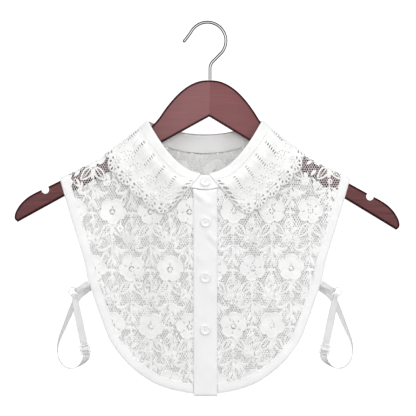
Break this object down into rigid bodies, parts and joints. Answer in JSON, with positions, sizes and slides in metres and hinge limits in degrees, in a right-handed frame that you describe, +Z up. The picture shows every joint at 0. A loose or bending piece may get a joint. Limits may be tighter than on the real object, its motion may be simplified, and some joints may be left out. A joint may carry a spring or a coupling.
{
  "type": "lace dickey collar on a wooden hanger",
  "caption": "White floral lace half-shirt with a scalloped eyelet collar, a buttoned front and elastic side straps, hanging on a mahogany hanger with a chrome hook.",
  "frame": {"origin": "the place on the inside of the hook's bow where a rail carries it", "axes": "+Z up, -Y towards the viewer at the front of the garment, +X to the viewer's right"},
  "size_m": [0.4419, 0.0756, 0.4294],
  "materials": {
    "lace": "soft white floral net lace",
    "collar_lace": "heavy matte white eyelet lace",
    "cotton": "matte white plain weave",
    "button_pearl": "pearly gloss",
    "elastic": "ribbed white elastic",
    "clear_plastic": "milky clear gloss",
    "mahogany": "satin lacquer over a dark red stain",
    "chrome": "polished plating"
  },
  "bodies": {
    "root": {"hanger_board_left": "mahogany", "hanger_board_right": "mahogany", "hanger_hook": "chrome", "front_panel_left": "lace", "front_panel_right": "lace", "back_panel": "lace", "collar_fall": "collar_lace", "collar_stand": "cotton", "placket": "cotton", "button_band": "cotton", "binding_front_left": "cotton", "binding_front_right": "cotton", "binding_back": "cotton", "button_1": "button_pearl", "button_2": "button_pearl", "button_3": "button_pearl", "button_4": "button_pearl", "strap_tab_left": "elastic", "strap_tab_right": "elastic", "strap_ring_left": "clear_plastic", "strap_ring_right": "clear_plastic", "strap_left": "elastic", "strap_right": "elastic", "strap_slider_left": "clear_plastic", "strap_slider_right": "clear_plastic"}
  },
  "joints": []
}
